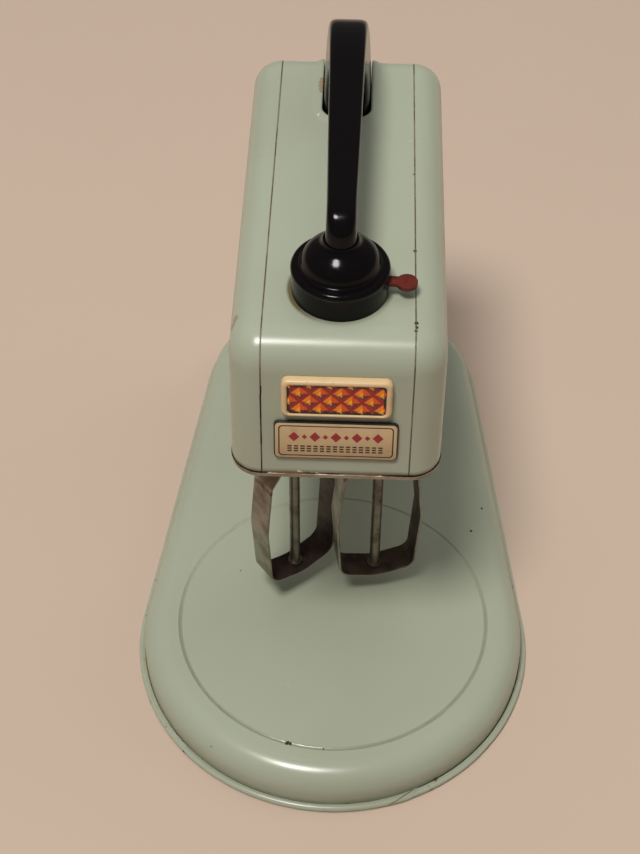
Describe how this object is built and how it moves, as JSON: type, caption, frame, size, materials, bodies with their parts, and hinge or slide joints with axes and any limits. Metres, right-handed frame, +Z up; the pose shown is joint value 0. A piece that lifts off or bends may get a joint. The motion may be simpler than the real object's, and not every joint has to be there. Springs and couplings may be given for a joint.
{
  "type": "toy stand mixer",
  "caption": "Toy stand mixer in painted tinplate: a tilting head with a carry handle, a switch lever and a battery drive turns its beaters over a teardrop base with a bowl ring.",
  "frame": {"origin": "on the table, under the middle of the base", "axes": "+Z up, the front of the head and the round end of the base face -Y, +X to the side of the switch lever"},
  "size_m": [0.1284, 0.2128, 0.1768],
  "materials": {
    "mint_enamel": "gloss, worn",
    "tinned_steel": "dull, aged",
    "plain_steel": "satin",
    "black_moulding": "gloss",
    "cream_enamel": "satin",
    "amber_print": "gloss",
    "red_enamel": "satin, worn",
    "brass": "satin",
    "motor_steel": "satin",
    "fibre_board": "matt",
    "cell_jacket": "satin",
    "wire_sleeve": "matt"
  },
  "bodies": {
    "base": {"base_shell": "mint_enamel", "column_shell": "mint_enamel", "column_back": "mint_enamel", "hinge_sleeve": "plain_steel", "hinge_pin": "plain_steel"},
    "head": {"head_left_cover": "mint_enamel", "head_right_cover": "mint_enamel", "head_centre_shell": "mint_enamel", "head_bottom_plate": "tinned_steel", "hinge_brackets": "plain_steel", "bracket_rivets": "plain_steel", "trim_frame": "cream_enamel", "trim_panel": "amber_print", "name_plate": "cream_enamel", "switch_housing": "black_moulding", "switch_pivot": "plain_steel", "switch_contacts": "brass", "handle": "black_moulding", "handle_screws": "plain_steel", "gear_frame": "plain_steel", "frame_screws": "plain_steel", "worm_bush": "brass", "motor_can": "motor_steel", "motor_end_cap": "fibre_board", "motor_terminals": "brass", "lower_bushes": "brass", "upper_bushes": "brass", "battery_tray": "fibre_board", "battery_cells": "cell_jacket", "battery_front_contact": "brass", "battery_rear_contacts": "brass", "door_hinge_pin": "plain_steel", "lead_wires": "wire_sleeve"},
    "lever": {"switch_lever": "red_enamel"},
    "worm_drive": {"motor_shaft": "plain_steel", "drive_worm": "brass"},
    "left_beater": {"left_spindle": "plain_steel", "left_gear": "brass", "left_beater_rod": "tinned_steel", "left_beater_loop": "tinned_steel"},
    "right_beater": {"right_spindle": "plain_steel", "right_gear": "brass", "right_beater_rod": "tinned_steel", "right_beater_loop": "tinned_steel"},
    "door": {"battery_door": "tinned_steel"}
  },
  "joints": [
    {"name": "head_tilt", "type": "hinge", "parent": "base", "child": "head", "pos_m": [0, 0.07975, 0.092], "axis": [-1, 0, 0], "range_deg": [0, 75]},
    {"name": "left_spin", "type": "hinge", "parent": "head", "child": "left_beater", "pos_m": [-0.013, -0.02825, 0.1], "axis": [0, 0, 1], "continuous": true},
    {"name": "right_spin", "type": "hinge", "parent": "head", "child": "right_beater", "pos_m": [0.013, -0.02825, 0.1], "axis": [0, 0, 1], "continuous": true},
    {"name": "worm_spin", "type": "hinge", "parent": "head", "child": "worm_drive", "pos_m": [0, -0.02825, 0.12], "axis": [0, 1, 0], "continuous": true},
    {"name": "switch_turn", "type": "hinge", "parent": "head", "child": "lever", "pos_m": [0, -0.02895, 0.1524], "axis": [0, 0, 1], "range_deg": [0, 38]},
    {"name": "door_swing", "type": "hinge", "parent": "head", "child": "door", "pos_m": [0, 0.01815, 0.1002], "axis": [-1, 0, 0], "range_deg": [0, 90]}
  ],
  "couplings": [
    {"joint": "right_spin", "follows": "left_spin", "ratio": -1},
    {"joint": "worm_spin", "follows": "left_spin", "ratio": -20}
  ]
}
